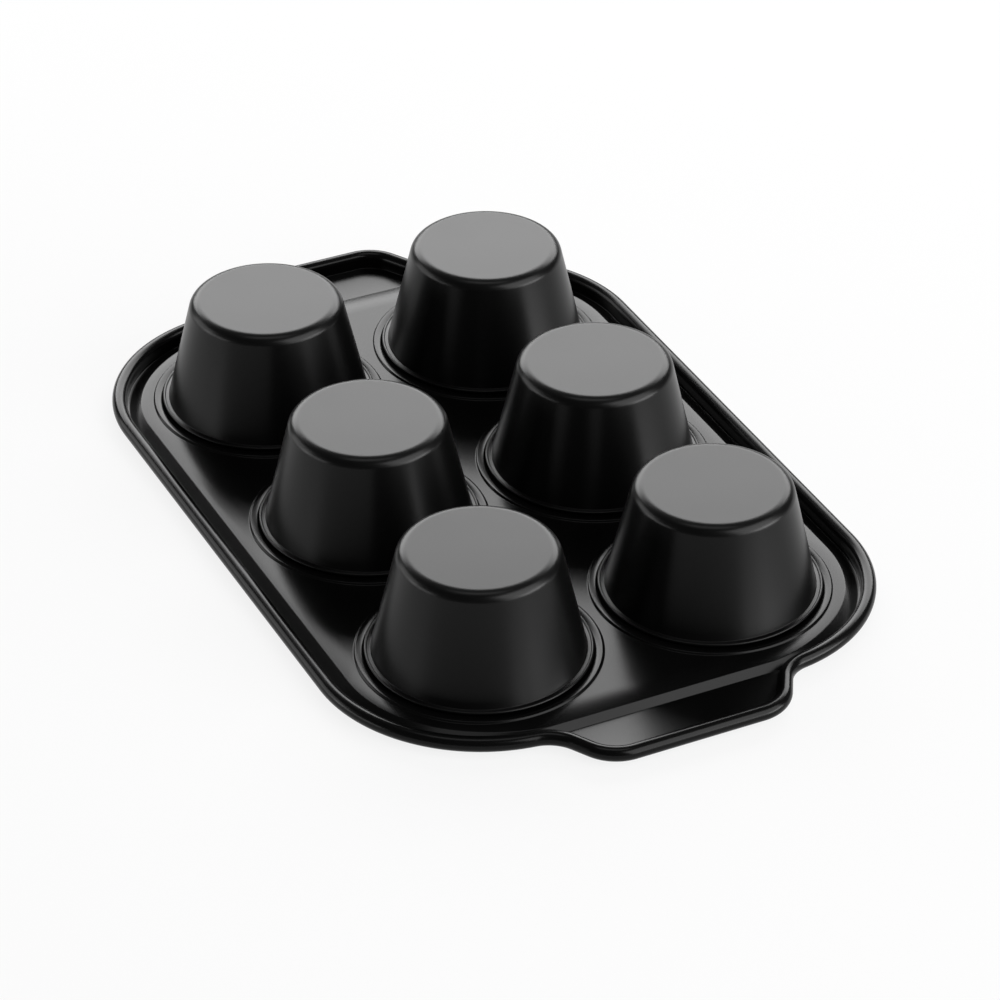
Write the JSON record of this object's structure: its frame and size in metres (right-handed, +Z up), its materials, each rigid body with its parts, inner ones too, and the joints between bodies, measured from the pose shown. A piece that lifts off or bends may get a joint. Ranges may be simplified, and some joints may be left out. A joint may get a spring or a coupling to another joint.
{
  "type": "muffin pan",
  "caption": "Rectangular muffin pan lying face down: deep tapered cups seamed into a flat deck with a border gutter, a wire-rolled rim and a grip tab at each short end.",
  "frame": {"origin": "on the surface that the pan lies on when it is face down, as pictured, under the middle of its length and width", "axes": "+Z up, out of the closed cup bases; +X along the pan, towards the grip tab nearest the camera; +Y across the pan, to the right in the picture"},
  "size_m": [0.3744, 0.2312, 0.0504],
  "materials": {
    "deck_coating": "satin",
    "cup_coating": "satin",
    "wire_steel": "matt"
  },
  "bodies": {
    "root": {"deck": "deck_coating", "rim_wire": "wire_steel", "cup_far_left": "cup_coating", "cup_far_right": "cup_coating", "cup_mid_left": "cup_coating", "cup_mid_right": "cup_coating", "cup_near_left": "cup_coating", "cup_near_right": "cup_coating"}
  },
  "joints": []
}
